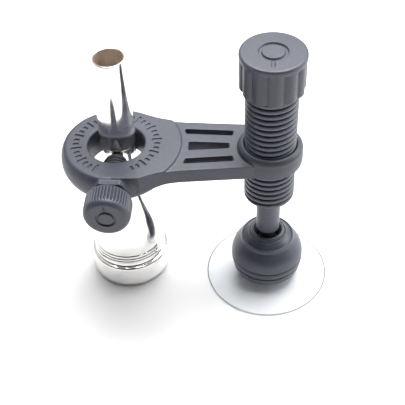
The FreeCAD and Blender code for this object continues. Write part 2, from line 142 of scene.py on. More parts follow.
def stack(name, rows, closed=True, x=0.0, y=0.0, along_y=False, z_shift=0.0):
    """one closed surface from rings; each row is (radii, heights) over the same angles, or a single (0, z) pole"""
    n = max(len(np.atleast_1d(r[0])) for r in rows)
    verts, faces, idx = [], [], []
    th = np.arange(n) * TAU / n
    cs, sn = np.cos(th), np.sin(th)
    for r, z in rows:
        r, z = np.atleast_1d(np.asarray(r, float)), np.atleast_1d(np.asarray(z, float))
        if len(r) == 1 and r[0] < 1e-9:
            idx.append([len(verts)])
            verts.append((0.0, 0.0, float(z[0])))
            continue
        r, z = np.broadcast_to(r, (n,)), np.broadcast_to(z, (n,))
        idx.append(list(range(len(verts), len(verts) + n)))
        verts.extend(zip(r * cs, r * sn, z))
    pairs = list(zip(idx[:-1], idx[1:]))
    if closed and len(idx[0]) > 1 and len(idx[-1]) > 1:
        pairs.append((idx[-1], idx[0]))
    for a, b in pairs:
        for k in range(n):
            k2 = (k + 1) % n
            if len(a) == 1 and len(b) == 1:
                continue
            if len(a) == 1:
                faces.append((a[0], b[k], b[k2]))
            elif len(b) == 1:
                faces.append((a[k], a[k2], b[0]))
            else:
                faces.append((a[k], a[k2], b[k2], b[k]))
    v = np.array(verts, float)
    if along_y:      # its own +Z points along -Y, at the height of the thumb screw
        v = np.stack([v[:, 0], -v[:, 2], v[:, 1] + Z_CLAMP], 1)
    v = v + np.array([x, y, z_shift])
    return mesh_from(name, row_frame(v), faces)


def lathe(name, profile, n=160, r=0.15, closed=True, k=4, **place):
    pts = rounded(profile, r, k)
    keep = []
    for p in pts:
        if not keep or math.hypot(p[0] - keep[-1][0], p[1] - keep[-1][1]) > 1e-4:
            keep.append(p)
    rows = [(max(p[0], 0.0) if p[0] > 1e-6 else 0.0, p[1]) for p in keep]
    rows = [(np.full(n, q[0]) if q[0] > 0 else 0.0, q[1]) for q in rows]
    return stack(name, rows, closed=closed, **place)


def place(o, body, slot=None, mats=(), replaces=()):
    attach(o, body)
    if replaces:
        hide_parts(*replaces)
    for m in mats:
        o.data.materials.append(m)
    return o


def weighted(o):
    m = o.modifiers.new("even shading", "WEIGHTED_NORMAL")
    m.mode = "FACE_AREA"
    m.weight = 50
    m.keep_sharp = False
    return o


def neighbours_smooth(me, rounds, lam=0.5, mu=0.0):
    """moves every vertex towards the mean of its neighbours, again and again"""
    n = len(me.vertices)
    co = np.empty(n * 3, np.float32)
    me.vertices.foreach_get("co", co)
    co = co.reshape(-1, 3).astype(np.float64)
    e = np.empty(len(me.edges) * 2, np.int32)
    me.edges.foreach_get("vertices", e)
    e = e.reshape(-1, 2)
    deg = np.bincount(e.ravel(), minlength=n).astype(float)
    deg[deg == 0] = 1

    def step(c, f):
        s = np.zeros_like(c)
        for k in range(3):
            s[:, k] = np.bincount(e[:, 0], c[e[:, 1], k], n) + np.bincount(e[:, 1], c[e[:, 0], k], n)
        return c + f * (s / deg[:, None] - c)

    for _ in range(rounds):
        co = step(co, lam)
        if mu:
            co = step(co, mu)
    me.vertices.foreach_set("co", co.astype(np.float32).ravel())
    me.update()


def applied(o):
    """the object's mesh with its modifiers applied, in place of the old one"""
    dg = bpy.context.evaluated_depsgraph_get()
    me = bpy.data.meshes.new_from_object(o.evaluated_get(dg))
    o.modifiers.clear()
    old = o.data
    o.data = me
    bpy.data.meshes.remove(old)
    return o


def soften(node, name, voxel, rounds, most):
    """a moulded version of a hard-edged solid: the same form with its edges rubbed soft"""
    me = NODES[node].data.copy()
    me.materials.clear()
    bm = bmesh.new()
    bm.from_mesh(me)
    bmesh.ops.remove_doubles(bm, verts=bm.verts, dist=2e-6)
    bm.to_mesh(me)
    bm.free()
    o = link(me, name)
    # bigger while it is remeshed, because the remesher has a smallest voxel of its own
    big = 100.0
    me.transform(Matrix.Scale(big, 4))
    m = o.modifiers.new("r", "REMESH")
    m.mode = "VOXEL"
    m.voxel_size = voxel * 0.001 * big
    m.adaptivity = 0.0
    m.use_smooth_shade = True
    applied(o)
    neighbours_smooth(o.data, rounds)
    tris = sum(len(p.vertices) - 2 for p in o.data.polygons)
    if tris > most:
        d = o.modifiers.new("d", "DECIMATE")
        d.ratio = most / tris
        applied(o)
    o.data.transform(Matrix.Scale(1.0 / big, 4))
    o.data.polygons.foreach_set("use_smooth", [True] * len(o.data.polygons))
    o.data.update()
    return o


# ------------------------------------------------------------------ materials
def tree(name):
    m = bpy.data.materials.new(name)
    m.use_nodes = True
    nt = m.node_tree
    nt.nodes.clear()
    out = nt.nodes.new("ShaderNodeOutputMaterial")
    return m, nt, out


def add(nt, kind, **kw):
    n = nt.nodes.new(kind)
    for k, v in kw.items():
        setattr(n, k, v)
    return n


def noise(nt, coord, scale, detail=3.0, rough=0.55, dist=0.0):
    n = add(nt, "ShaderNodeTexNoise")
    n.inputs["Scale"].default_value = scale
    n.inputs["Detail"].default_value = detail
    n.inputs["Roughness"].default_value = rough
    n.inputs["Distortion"].default_value = dist
    nt.links.new(coord, n.inputs["Vector"])
    return n.outputs["Fac"]


def ramp(nt, fac, stops):
    n = add(nt, "ShaderNodeValToRGB")
    e = n.color_ramp.elements
    while len(e) > 1:
        e.remove(e[-1])
    e[0].position, e[0].color = stops[0][0], (*stops[0][1], 1.0)
    for pos, col in stops[1:]:
        s = e.new(pos)
        s.color = (*col, 1.0)
    nt.links.new(fac, n.inputs["Fac"])
    return n.outputs["Color"]


def spread(nt, fac, a, b, lo=0.0, hi=1.0):
    n = add(nt, "ShaderNodeMapRange")
    n.inputs["From Min"].default_value = lo
    n.inputs["From Max"].default_value = hi
    n.inputs["To Min"].default_value = a
    n.inputs["To Max"].default_value = b
    nt.links.new(fac, n.inputs["Value"])
    return n.outputs["Result"]


def mixcol(nt, fac, a, b, mode="MIX"):
    n = add(nt, "ShaderNodeMix", data_type="RGBA", blend_type=mode)
    for sock, v in ((n.inputs[0], fac), (n.inputs[6], a), (n.inputs[7], b)):
        if isinstance(v, (int, float)):
            sock.default_value = v
        elif isinstance(v, tuple):
            sock.default_value = (*v, 1.0)
        else:
            nt.links.new(v, sock)
    return n.outputs[2]


def bump(nt, height, strength, distance, under=None):
    n = add(nt, "ShaderNodeBump")
    n.inputs["Strength"].default_value = strength
    n.inputs["Distance"].default_value = distance
    nt.links.new(height, n.inputs["Height"])
    if under is not None:
        nt.links.new(under, n.inputs["Normal"])
    return n.outputs["Normal"]


def grained(name, col, rough=(0.5, 0.66), grain=0.16, depth=0.03, spec=0.5, wear_and_highlight=0.35, mottle=0.10, sheen=0.0):
    """fine-grained moulded plastic: a powdery grain, faint clouds in the colour, convex edges painted a little paler:
    partly rubbed wear, partly painted highlight
    """
    m, nt, out = tree(name)
    b = add(nt, "ShaderNodeBsdfPrincipled")
    nt.links.new(b.outputs["BSDF"], out.inputs["Surface"])
    tc = add(nt, "ShaderNodeTexCoord")
    co = tc.outputs["Object"]
    fine = noise(nt, co, 1000.0 / grain, 2.0, 0.6)
    mid = noise(nt, co, 1000.0 / (grain * 5.5), 3.0, 0.6)
    cloud = noise(nt, co, 1000.0 / 9.0, 4.0, 0.6, 0.4)
    c = np.array(col)
    base = ramp(nt, cloud, [(0.30, tuple(c * (1 - mottle))), (0.52, tuple(c)), (0.74, tuple(c * (1 + mottle) + 0.002))])
    speck = ramp(nt, fine, [(0.32, (0.80, 0.80, 0.81)), (0.5, (1.0, 1.0, 1.0)), (0.70, (1.20, 1.20, 1.19))])
    base = mixcol(nt, 1.0, base, speck, "MULTIPLY")
    # convex edges painted paler where Pointiness is high: partly rubbed wear, partly painted highlight
    geo = add(nt, "ShaderNodeNewGeometry")
    edge = ramp(nt, geo.outputs["Pointiness"], [(0.505, (0.0, 0.0, 0.0)), (0.56, (1.0, 1.0, 1.0))])
    e2 = add(nt, "ShaderNodeMath", operation="MULTIPLY")
    nt.links.new(edge, e2.inputs[0])
    nt.links.new(spread(nt, mid, 0.2 * wear_and_highlight, wear_and_highlight, 0.35, 0.65), e2.inputs[1])
    worn_and_highlit = tuple(np.clip(c * 1.7 + 0.012, 0, 1))
    base = mixcol(nt, e2.outputs[0], base, worn_and_highlit)
    nt.links.new(base, b.inputs["Base Color"])
    nt.links.new(spread(nt, mid, rough[0], rough[1], 0.3, 0.7), b.inputs["Roughness"])
    b.inputs["Specular IOR Level"].default_value = spec
    if sheen:
        b.inputs["Sheen Weight"].default_value = sheen
        b.inputs["Sheen Roughness"].default_value = 0.5
    n1 = bump(nt, fine, 0.55, depth * 0.001)
    n2 = bump(nt, mid, 0.35, depth * 0.0012, n1)
    nt.links.new(n2, b.inputs["Normal"])
    return m


def turned(name, col, rough=(0.34, 0.46), pitch=0.22, depth=0.012, spec=0.5, mottle=0.08, axis_x=0.0, axis_y=0.0):
    """turned plastic: faint tool rings round the axis under a satin surface"""
    m, nt, out = tree(name)
    b = add(nt, "ShaderNodeBsdfPrincipled")
    nt.links.new(b.outputs["BSDF"], out.inputs["Surface"])
    tc = add(nt, "ShaderNodeTexCoord")
    co = tc.outputs["Object"]
    fine = noise(nt, co, 1000.0 / 0.14, 2.0, 0.6)
    cloud = noise(nt, co, 1000.0 / 6.0, 4.0, 0.6, 0.3)
    stretch = add(nt, "ShaderNodeMapping")
    stretch.inputs["Scale"].default_value = (60.0, 60.0, 1000.0 / pitch)
    nt.links.new(co, stretch.inputs["Vector"])
    rings = noise(nt, stretch.outputs["Vector"], 1.0, 3.0, 0.65)
    c = np.array(col)
    base = ramp(nt, cloud, [(0.30, tuple(c * (1 - mottle))), (0.55, tuple(c)), (0.75, tuple(c * (1 + mottle) + 0.002))])
    speck = ramp(nt, rings, [(0.30, (0.88, 0.88, 0.89)), (0.5, (1.0, 1.0, 1.0)), (0.70, (1.12, 1.12, 1.11))])
    base = mixcol(nt, 1.0, base, speck, "MULTIPLY")
    nt.links.new(base, b.inputs["Base Color"])
    nt.links.new(spread(nt, rings, rough[0], rough[1], 0.3, 0.7), b.inputs["Roughness"])
    b.inputs["Specular IOR Level"].default_value = spec
    n1 = bump(nt, rings, 0.5, depth * 0.001)
    n2 = bump(nt, fine, 0.25, depth * 0.001, n1)
    nt.links.new(n2, b.inputs["Normal"])
    return m


def metal(name, col, dark, rough=(0.10, 0.2), scale=0.8, streak=None, crease_shade=0.4):
    """metal: clouds of dulled plating, fine scratches, painted shade in the concave corners"""
    m, nt, out = tree(name)
    b = add(nt, "ShaderNodeBsdfPrincipled")
    nt.links.new(b.outputs["BSDF"], out.inputs["Surface"])
    tc = add(nt, "ShaderNodeTexCoord")
    co = tc.outputs["Object"]
    cloud = noise(nt, co, 1000.0 / 5.0, 5.0, 0.62, 0.5)
    scr = add(nt, "ShaderNodeMapping")
    scr.inputs["Scale"].default_value = streak or (1400.0, 1400.0, 60.0)
    nt.links.new(co, scr.inputs["Vector"])
    lines = noise(nt, scr.outputs["Vector"], scale, 3.0, 0.7)
    base = ramp(nt, cloud, [(0.25, dark), (0.48, col), (0.8, tuple(min(1.0, v * 1.02) for v in col))])
    geo = add(nt, "ShaderNodeNewGeometry")
    # painted shade: the colour is darkened where the surface is concave
    crease = ramp(nt, geo.outputs["Pointiness"], [(0.40, (1.0, 1.0, 1.0)), (0.485, (0.0, 0.0, 0.0))])
    f = add(nt, "ShaderNodeMath", operation="MULTIPLY")
    nt.links.new(crease, f.inputs[0])
    f.inputs[1].default_value = crease_shade
    base = mixcol(nt, f.outputs[0], base, tuple(v * 0.55 for v in dark))
    nt.links.new(base, b.inputs["Base Color"])
    b.inputs["Metallic"].default_value = 1.0
    nt.links.new(spread(nt, lines, rough[0], rough[1], 0.3, 0.7), b.inputs["Roughness"])
    n1 = bump(nt, lines, 0.12, 0.000004)
    nt.links.new(n1, b.inputs["Normal"])
    return m


def clear_vinyl(name, painted_edge_shade=1.0):
    """clear soft vinyl: seen through, glossy, with painted shade that greys it where it is seen edge on; the second
    argument is a painted shade that darkens it, used for the cut edge
    """
    m, nt, out = tree(name)
    tc = add(nt, "ShaderNodeTexCoord")
    co = tc.outputs["Object"]
    cloud = noise(nt, co, 1000.0 / 6.0, 3.0, 0.6, 0.3)
    fine = noise(nt, co, 1000.0 / 0.9, 2.0, 0.5)
    lw = add(nt, "ShaderNodeLayerWeight")
    lw.inputs["Blend"].default_value = 0.12
    # painted shade: the see-through colour goes greyer towards edge-on views
    tint_and_shade = ramp(nt, lw.outputs["Facing"], [(0.0, (0.994, 0.995, 0.996)), (0.86, (0.988, 0.990, 0.991)), (1.0, (0.95, 0.955, 0.96))])
    haze = ramp(nt, cloud, [(0.3, (0.975, 0.977, 0.98)), (0.7, (1.0, 1.0, 1.0))])
    tint_and_shade = mixcol(nt, 1.0, tint_and_shade, haze, "MULTIPLY")
    # the second argument multiplies in painted shade; the cut edge of the disc uses it
    tint_and_shade = mixcol(nt, 1.0, tint_and_shade, (painted_edge_shade, painted_edge_shade * 1.005, painted_edge_shade * 1.01), "MULTIPLY")
    tr = add(nt, "ShaderNodeBsdfTransparent")
    nt.links.new(tint_and_shade, tr.inputs["Color"])
    gl = add(nt, "ShaderNodeBsdfPrincipled")
    gl.inputs["Base Color"].default_value = (0.9, 0.92, 0.93, 1.0)
    gl.inputs["Metallic"].default_value = 1.0
    nt.links.new(spread(nt, cloud, 0.03, 0.12, 0.3, 0.7), gl.inputs["Roughness"])
    nrm = bump(nt, fine, 0.15, 0.00002)
    nt.links.new(nrm, gl.inputs["Normal"])
    fr = add(nt, "ShaderNodeFresnel")
    fr.inputs["IOR"].default_value = 1.22
    mx = add(nt, "ShaderNodeMixShader")
    less = add(nt, "ShaderNodeMath", operation="MULTIPLY")
    less.inputs[1].default_value = 0.4
    nt.links.new(fr.outputs["Fac"], less.inputs[0])
    nt.links.new(less.outputs[0], mx.inputs["Fac"])
    nt.links.new(tr.outputs["BSDF"], mx.inputs[1])
    nt.links.new(gl.outputs["BSDF"], mx.inputs[2])
    nt.links.new(mx.outputs["Shader"], out.inputs["Surface"])
    return m


CHAR = (0.042, 0.047, 0.067)
M_BODY = grained("body_grain", CHAR, rough=(0.38, 0.52), grain=0.20, depth=0.030, spec=0.55)
M_KNOB = grained("knob_grain", CHAR, rough=(0.36, 0.50), grain=0.18, depth=0.025, spec=0.6)
# a lighter copy of the body plastic with stronger paling on its crests: painted highlight on the thread crests
M_THREAD = grained("thread_grain", (0.070, 0.076, 0.100), rough=(0.32, 0.44), grain=0.16, depth=0.02, wear_and_highlight=0.5, spec=0.6)
M_DOME = turned("dome_turned", (0.044, 0.049, 0.070), rough=(0.34, 0.46), spec=0.6)
M_ROD = turned("rod_satin", (0.056, 0.060, 0.085), rough=(0.36, 0.46), pitch=0.5, depth=0.006, spec=0.6)
M_SCREW = grained("screw_black_oxide", (0.045, 0.047, 0.054), rough=(0.34, 0.5), grain=0.12, depth=0.01, wear_and_highlight=0.6)
M_LINER = grained("liner_rubber", (0.03, 0.03, 0.032), rough=(0.65, 0.8), grain=0.3, depth=0.03, wear_and_highlight=0.1)
M_NYLON = grained("nylon_natural", (0.70, 0.69, 0.64), rough=(0.4, 0.55), grain=0.4, depth=0.01, wear_and_highlight=0.05)
M_RUBBER = grained("ring_rubber", (0.02, 0.02, 0.02), rough=(0.5, 0.7), grain=0.25, depth=0.02, wear_and_highlight=0.1)
M_SILVER = metal("silver_plate", (0.93, 0.915, 0.89), (0.80, 0.77, 0.73), rough=(0.09, 0.16), crease_shade=0.5)
M_BORE = metal("bore_tarnish", (0.86, 0.77, 0.69), (0.62, 0.54, 0.47), rough=(0.38, 0.52), crease_shade=0.2)
M_STEEL = metal("steel_plain", (0.58, 0.58, 0.58), (0.40, 0.40, 0.41), rough=(0.22, 0.36), crease_shade=0.5)
M_SPRING = metal("spring_wire", (0.46, 0.46, 0.47), (0.28, 0.28, 0.29), rough=(0.24, 0.38), streak=(300.0, 300.0, 300.0), crease_shade=0.3)
M_VINYL = clear_vinyl("clear_vinyl_sheet", 0.99)
# the cut edge of the disc: the same vinyl darkened with painted shade
M_SHADED_EDGE = clear_vinyl("clear_vinyl_shaded_edge", 0.66)

# ------------------------------------------------------------------ arm
arm = soften("arm_body", "arm_shell", 0.15, 5, 190000)
place(arm, "arm", "body_plastic", [M_BODY], ["arm_body"])

# ------------------------------------------------------------------ mouthpiece
outer = [(9.6, 0.12, 0.0), (10.2, 0.0, 0.25), (11.0, 0.0, 0.0)]
outer += spline([(11.0, 0.0), (11.9, 0.18), (12.6, 0.85), (12.95, 1.75), (13.02, 2.6)], 5)[1:]
outer += [(13.05, 8.5, 0.0), (13.0, 8.9, 0.0), (12.85, 9.2, 0.0), (12.6, 9.36, 0.0), (12.2, 9.44, 0.0)]
outer += spline([(12.0, 9.47), (11.7, 9.9), (11.56, 10.6), (11.56, 11.3), (11.66, 11.85)], 4)
outer += spline([(11.72, 11.92), (11.9, 12.12), (11.97, 12.42), (11.88, 12.75), (11.62, 12.95)], 4)[1:]
outer += spline([(11.6, 13.1), (11.78, 13.25), (11.84, 13.6), (11.74, 13.95), (11.46, 14.12)], 4)[1:]
outer += spline([(11.4, 14.5), (11.42, 15.5), (11.15, 18.5), (10.45, 22.0), (9.3, 26.0), (7.9, 30.0), (6.6, 34.0), (5.6, 38.0), (5.05, 42.0), (R_NECK, 46.0)], 6)
outer += [(R_NECK, 50.0, 0.0), (R_NECK, 55.15, 0.12), (5.5, 55.88, 0.15), (5.74, 56.1, 0.1)]
k0 = np.linspace(0.06, 1.0, 14)
outer += [(5.74 + (4.93 - 5.74) * float(t), 56.1 + (86.7 - 56.1) * float(t), 0.0) for t in k0]
outer += [(4.88, 87.1, 0.0), (4.78, L_MOUTH, 0.08)]
inner = [(4.44, L_MOUTH, 0.08)] + spline([(4.40, 86.9), (4.16, 80.0), (3.9, 75.0), (3.2, 58.0), (2.45, 38.0), (1.9, 24.0), (1.84, 20.0)], 4)
cup = [(1.84, 13.2, 0.5)] + spline([(2.2, 12.1), (3.6, 10.6), (5.7, 8.2), (7.3, 4.9), (8.05, 2.2), (8.45, 0.9)], 7) + spline([(8.6, 0.62), (8.9, 0.35), (9.25, 0.2)], 3)
mp = lathe("mouthpiece_body", outer + inner + cup, n=200, r=0.1, x=MX, y=MY)
place(mp, "mouthpiece", "silver", [M_SILVER, M_BORE], ["mouthpiece"])
# the bore, open at the shank, is dulled: every face that looks at the axis above the throat
ax, ay = (MX - DX) * 0.001, (MY - DY) * 0.001
for p in mp.data.polygons:
    c, nn = p.center, p.normal
    inward = (c.x - ax) * nn.x + (c.y - ay) * nn.y < 0
    if inward and c.z > 0.0125 and math.hypot(c.x - ax, c.y - ay) < 0.00446:
        p.material_index = 1

# ------------------------------------------------------------------ thumb screw: real thread, right-handed
N = 96


def thread_rows(z0, z1, pitch, crest, root, n, step, shape, phase=0.0, cap=None):
    """rings of a helical thread from z0 up to z1; shape(u) is 0 in the groove and 1 on the crest; cap(z) is the largest radius there"""
    rows = []
    th = np.arange(n) * TAU / n
    m = max(2, int(round((z1 - z0) / step)))
    for k in range(m + 1):
        z = z0 + (z1 - z0) * k / m
        u = ((z / pitch) - th / TAU + phase) % 1.0
        c = crest(z) if callable(crest) else crest
        q = root(z) if callable(root) else root
        r = q + (c - q) * shape(u)
        if cap is not None:
            r = np.minimum(r, cap(z))
        rows.append((r, np.full(n, z)))
    return rows


def soft_crest(u, groove=0.20, edge=0.15):
    """a broad rounded crest beside a narrow groove"""
    d = np.minimum(u, 1.0 - u)
    t = np.clip((d - groove * 0.25) / edge, 0.0, 1.0)
    s = t * t * (3 - 2 * t)
    crown = 1.0 - 0.32 * ((0.5 - d) / 0.5) ** 2
    return s * crown


def sharp_v(u):
    """a plain 60 degree thread with slightly rounded crest and root"""
    d = np.abs(2.0 * u - 1.0)
    t = np.clip((1.0 - d - 0.10) / 0.78, 0.0, 1.0)
    return t * t * (3 - 2 * t) * 0.35 + t * 0.65


scr = thread_rows(3.15, 18.8, 1.25, lambda z: 3.93 - 0.62 * max(0.0, (4.9 - z) / 1.75) ** 1.3, lambda z: 3.28 - 0.25 * max(0.0, (4.9 - z) / 1.75),
                  N, 0.09, sharp_v)
rows = [(np.full(N, 1.97), 5.2), (np.full(N, 1.97), 2.95), (np.full(N, 2.05), 2.78), (np.full(N, 2.6), 2.76), (np.full(N, 2.95), 2.95)] + scr
rows += [(np.full(N, 3.22), 18.95), (np.full(N, 3.18), 19.1), (np.full(N, 3.18), 21.45), (np.full(N, 5.1), 21.5), (np.full(N, 5.15), 21.7), (np.full(N, 5.15), 24.9),
         (np.full(N, 5.0), 25.0), (0.0, 25.0)]
rows = [(0.0, 5.2)] + rows
screw = stack("clamp_screw_thread", rows, closed=False, along_y=True)
place(screw, "clamp_screw", "screw_black", [M_SCREW], ["clamp_screw"])

tip = lathe("clamp_tip_pad", [(0.0, S_TIP, 0), (1.45, S_TIP, 0.35), (1.9, S_TIP + 0.5, 0.3), (1.9, 5.1, 0.1), (0.0, 5.1, 0)], n=64, closed=False, along_y=True)
place(tip, "clamp_tip", "liner", [M_LINER], ["clamp_tip"])

# ------------------------------------------------------------------ thumb knob: fine straight knurl, soft face with a recessed ring and pointer
N = 528
RIBS = 44
th = np.arange(N) * TAU / N


def knurl(depth):
    """radius change round the knob: rounded ribs with narrow grooves between"""
    u = (th * RIBS / TAU) % 1.0
    d = np.minimum(u, 1.0 - u) * 2.0
    t = np.clip(d / 0.78, 0.0, 1.0)
    return -depth * (1.0 - t * t * (3 - 2 * t))


def face_rows(r_list, z_face, sign, depth, ring, bar, n, theta):
    """rings of a flat face with a sunk ring and a sunk pointer bar"""
    out = []
    for r in r_list:
        if r < 1e-6:
            out.append((0.0, z_face))
            continue
        x, y = r * np.cos(theta), r * np.sin(theta)
        d1 = np.maximum(ring[0] - r, r - ring[1]) + 0 * x
        d2 = np.maximum.reduce([np.abs(x) - bar[2], bar[0] - bar[3] * y, bar[3] * y - bar[1]])
        d = np.minimum(d1, d2)
        t = np.clip((0.06 - d) / 0.12, 0.0, 1.0)
        s = t * t * (3 - 2 * t)
        out.append((np.full(n, r), np.full(n, z_face) - sign * depth * s))
    return out


rows = [(np.full(N, 3.25), 21.5), (np.full(N, 3.25), 19.15), (np.full(N, 3.4), 19.0), (np.full(N, 4.95), 19.0), (np.full(N, 5.15), 19.08), (np.full(N, 5.22), 19.3),
        (np.full(N, 5.22), 20.1), (np.full(N, 5.3), S_KNOB), (np.full(N, 6.35), S_KNOB), (np.full(N, 6.62), S_KNOB + 0.05)]
for r, z, f in ((6.85, 20.35, 0.3), (7.0, 20.55, 0.7), (R_CKNOB, 20.85, 1.0)):
    rows.append((r + knurl(0.60 * f), z))
for z in np.linspace(21.2, 25.5, 12):
    rows.append((R_CKNOB + knurl(0.60), float(z)))
for r, z, f in ((R_CKNOB, 25.75, 1.0), (7.08, 25.95, 0.9), (7.03, 26.15, 0.55), (6.96, 26.35, 0.2), (6.87, 26.6, 0.0), (6.72, 26.95, 0.0), (6.5, 27.3, 0.0),
                (6.2, 27.58, 0.0), (5.85, 27.78, 0.0), (5.5, 27.88, 0.0)):
    rows.append((r + knurl(0.60 * f), z))
rl = [float(v) for v in np.linspace(5.3, 0.0, 66)]
rl[-1] = 0.0
rows += face_rows(rl, S_FACE, 1.0, 0.5, (2.2, 3.0), (2.9, 4.9, 0.42, 1.0), N, th)
hex_r = 5.16
rows = [(0.0, 25.05), (np.full(N, hex_r), 25.05), (np.full(N, hex_r), 21.5)] + rows
ck = stack("thumb_knob", rows, closed=False, along_y=True)
place(ck, "clamp_screw", "knob_plastic", [M_KNOB], ["clamp_knob"])

# ------------------------------------------------------------------ barrel: real thread, right-handed
N = 168


def taper_end(z):
    """the chamfer at the lower end of the thread"""
    t = (z - Z_BARREL) / 0.9
    return 7.25 + (R_THREAD - 7.25) * min(1.0, max(0.0, t)) if t < 1.0 else 99.0


thr = thread_rows(Z_BARREL + 0.12, Z_KNOB + 0.35, PITCH, R_THREAD, R_ROOT, N, 0.098, soft_crest, cap=taper_end)
rows = [(np.full(N, 6.35), 87.9), (np.full(N, 1.62), 87.9), (np.full(N, 1.62), Z_BORE_TOP), (np.full(N, R_BORE), Z_BORE_TOP), (np.full(N, R_BORE), 79.9)]
rows += [(np.full(N, R_BORE), float(z)) for z in np.linspace(76, 40, 7)]
rows += [(np.full(N, R_BORE), 39.15), (np.full(N, 5.75), 39.1), (np.full(N, 5.75), 38.2), (np.full(N, 5.42), 38.15), (np.full(N, 5.42), 37.65), (np.full(N, 5.5), 37.48),
         (np.full(N, 5.68), 37.4), (np.full(N, 6.7), 37.4), (np.full(N, 6.95), 37.43)]
rows += thr
rows += [(np.full(N, 6.42), Z_KNOB + 0.4), (np.full(N, 6.42), 87.8)]
barrel = stack("barrel_thread", rows, closed=True, x=D)
place(barrel, "barrel", "barrel_plastic", [M_THREAD], ["barrel"])

# ------------------------------------------------------------------ top knob: twelve lobes under a round cap, a sunk ring and pointer on top
N = 480
th = np.arange(N) * TAU / N
RC, RL = 6.6, 3.1
PH = math.radians(5.7)


def lobes(scale=1.0):
    """radius of twelve joined round lobes, the valleys a little softened"""
    a = (th - PH + math.pi / 12) % (TAU / 12) - math.pi / 12
    r = RC * np.cos(a) + np.sqrt(RL ** 2 - (RC * np.sin(a)) ** 2)
    v = np.abs(a) / (math.pi / 12)
    soft = np.clip((v - 0.9) / 0.1, 0, 1)
    r = r + 0.06 * soft ** 2
    return r * scale


lob = lobes()
rows = [(np.full(N, 6.45), 87.9), (np.full(N, 6.45), Z_KNOB + 0.35), (np.full(N, 6.6), Z_KNOB + 0.02), (np.full(N, 6.9), Z_KNOB)]
for inset, z in ((0.55, Z_KNOB), (0.36, Z_KNOB + 0.05), (0.2, Z_KNOB + 0.14), (0.09, Z_KNOB + 0.28), (0.02, Z_KNOB + 0.46), (0.0, Z_KNOB + 0.7)):
    rows.append((lob - inset, z))
for z in np.linspace(Z_KNOB + 1.2, 89.7, 12):
    rows.append((lob, float(z)))
cap_r = 9.70
for f, z in ((0.0, 90.0), (0.10, 90.12), (0.35, 90.24), (0.7, 90.34), (0.92, 90.44), (1.0, 90.6)):
    rows.append((lob * (1 - f) + np.maximum(lob, cap_r) * f, z))
for r, z in ((9.77, 90.95), (9.80, 91.3), (9.80, 91.62), (9.77, 91.86), (9.68, 92.07), (9.54, 92.23), (9.36, 92.34), (9.15, 92.39), (8.95, 92.4)):
    rows.append((np.full(N, r), z))
rl = [float(v) for v in np.linspace(8.6, 7.4, 4)] + [float(v) for v in np.linspace(7.3, 0.0, 92)]
rl[-1] = 0.0
rows += face_rows(rl, Z_KNOB_TOP, 1.0, 0.6, (3.3, 4.3), (4.2, 7.2, 0.5, -1.0), N, th)
rows = [(0.0, 87.9)] + rows
knob = stack("top_knob", rows, closed=False, x=D)
place(knob, "barrel", "knob_plastic", [M_KNOB], ["barrel_knob"])

# ------------------------------------------------------------------ plunger rod and ball stud
rod = lathe("plunger_rod_shaft", [(2.0, Z_ROD_BOT, 0.1), (R_ROD, Z_ROD_BOT, 0.35), (R_ROD, 26.0, 0), (R_ROD, 32.0, 0), (R_ROD, 38.0, 0), (R_ROD, Z_HEAD, 0.15), (2.6, Z_HEAD, 0.05),
                                  (2.6, 45.4, 0.15), (1.4, 45.4, 0.1), (1.4, 38.0, 0.05), (0.05, 38.0, 0), (0.05, 30.2, 0), (2.0, 30.2, 0.05)], n=128, x=D)
place(rod, "plunger", "rod_plastic", [M_ROD], ["plunger_rod"])

a0 = math.asin(2.6 / R_BALL)
ball = [(0.0, Z_BALL - R_BALL, 0)] + [(R_BALL * math.sin(t), Z_BALL + R_BALL * math.cos(t), 0.0) for t in np.linspace(math.pi - 0.05, a0 + 0.03, 40)]
ball += [(2.62, Z_BALL + math.sqrt(R_BALL ** 2 - 2.6 ** 2) + 0.12, 0.1), (2.6, Z_ROD_BOT, 0.1), (2.0, Z_ROD_BOT, 0.05), (2.0, 29.6, 0.1), (1.6, 30.0, 0.1), (0.0, 30.0, 0)]
stud = lathe("ball_stud_body", ball, n=96, closed=False, x=D)
place(stud, "plunger", "screw_black", [M_SCREW], ["ball_stud"])

# ------------------------------------------------------------------ swivel housing
zc_open = Z_BALL + math.sqrt(5.3 ** 2 - 3.9 ** 2)
cap = [(9.0, 10.45, 0.05), (11.6, 10.45, 0.15)]
cap += spline([(11.82, 10.62), (11.86, 10.9), (11.76, 11.9), (11.3, 13.55), (10.45, 15.2), (9.35, 16.75)], 5)
cap += spline([(9.28, 16.86), (9.05, 17.2), (8.86, 17.6), (8.70, 18.1)], 4)
cap += spline([(8.66, 18.28), (8.55, 18.42), (8.40, 18.46), (8.22, 18.36), (8.08, 18.2)], 3)
cap += spline([(8.0, 18.16), (7.6, 18.58), (7.2, 18.95), (6.75, 19.32), (6.4, 19.6)], 3)
cap += spline([(6.33, 19.72), (6.22, 19.92), (6.05, 19.98), (5.9, 19.9), (5.78, 19.78)], 3)
cap += spline([(5.72, 19.84), (5.55, 20.3), (5.3, 20.72), (5.1, 20.92), (4.85, 21.0), (4.62, 20.9)], 4)
cap += [(3.95, zc_open + 0.1, 0.2)]
cap += [(5.3 * math.sin(t), Z_BALL + 5.3 * math.cos(t), 0.0) for t in np.linspace(math.asin(3.95 / 5.3) + 0.04, math.acos(1.9 / 5.3), 12)]
cap += [(9.0, 14.4, 0.05)]
dome = lathe("socket_dome", cap, n=192, r=0.08, x=D)
place(dome, "chin_pad", "dome_plastic", [M_DOME], ["socket_cap"])

